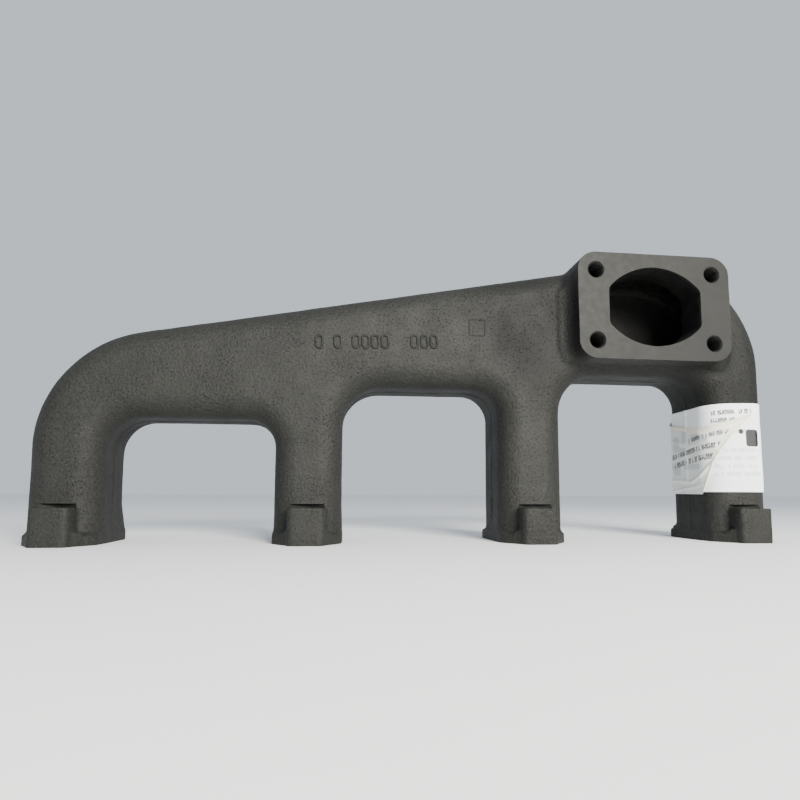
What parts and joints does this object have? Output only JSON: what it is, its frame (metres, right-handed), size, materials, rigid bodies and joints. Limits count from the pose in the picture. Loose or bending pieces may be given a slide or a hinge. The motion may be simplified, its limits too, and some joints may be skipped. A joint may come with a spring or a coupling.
{
  "type": "exhaust manifold",
  "caption": "Cast-iron exhaust manifold with a rising gallery, separate port feet on legs and a bolted side outlet.",
  "frame": {"origin": "centre of the port bolt rectangle on the plane of the four port faces, midway between the second and third ports", "axes": "+X along the manifold towards the outlet end, -Y out of the outlet flange, +Z from the port faces up to the gallery"},
  "size_m": [0.43, 0.0773, 0.1736],
  "materials": {
    "iron": "as cast, shot blasted, with a thin dark dip coat",
    "paper": "coated label paper, printed in black",
    "tape": "clear glossy packing tape"
  },
  "bodies": {
    "root": {"port_foot_1": "iron", "leg_1": "iron", "port_foot_2": "iron", "leg_2": "iron", "port_foot_3": "iron", "leg_3": "iron", "port_foot_4": "iron", "leg_4": "iron", "end_bend_1": "iron", "gallery_tube_1": "iron", "leg_junction_2": "iron", "gallery_tube_2": "iron", "leg_junction_3": "iron", "outlet_chamber": "iron", "end_bend_4": "iron", "outlet_flange": "iron", "paper_label": "paper", "clear_tape": "tape"}
  },
  "joints": []
}
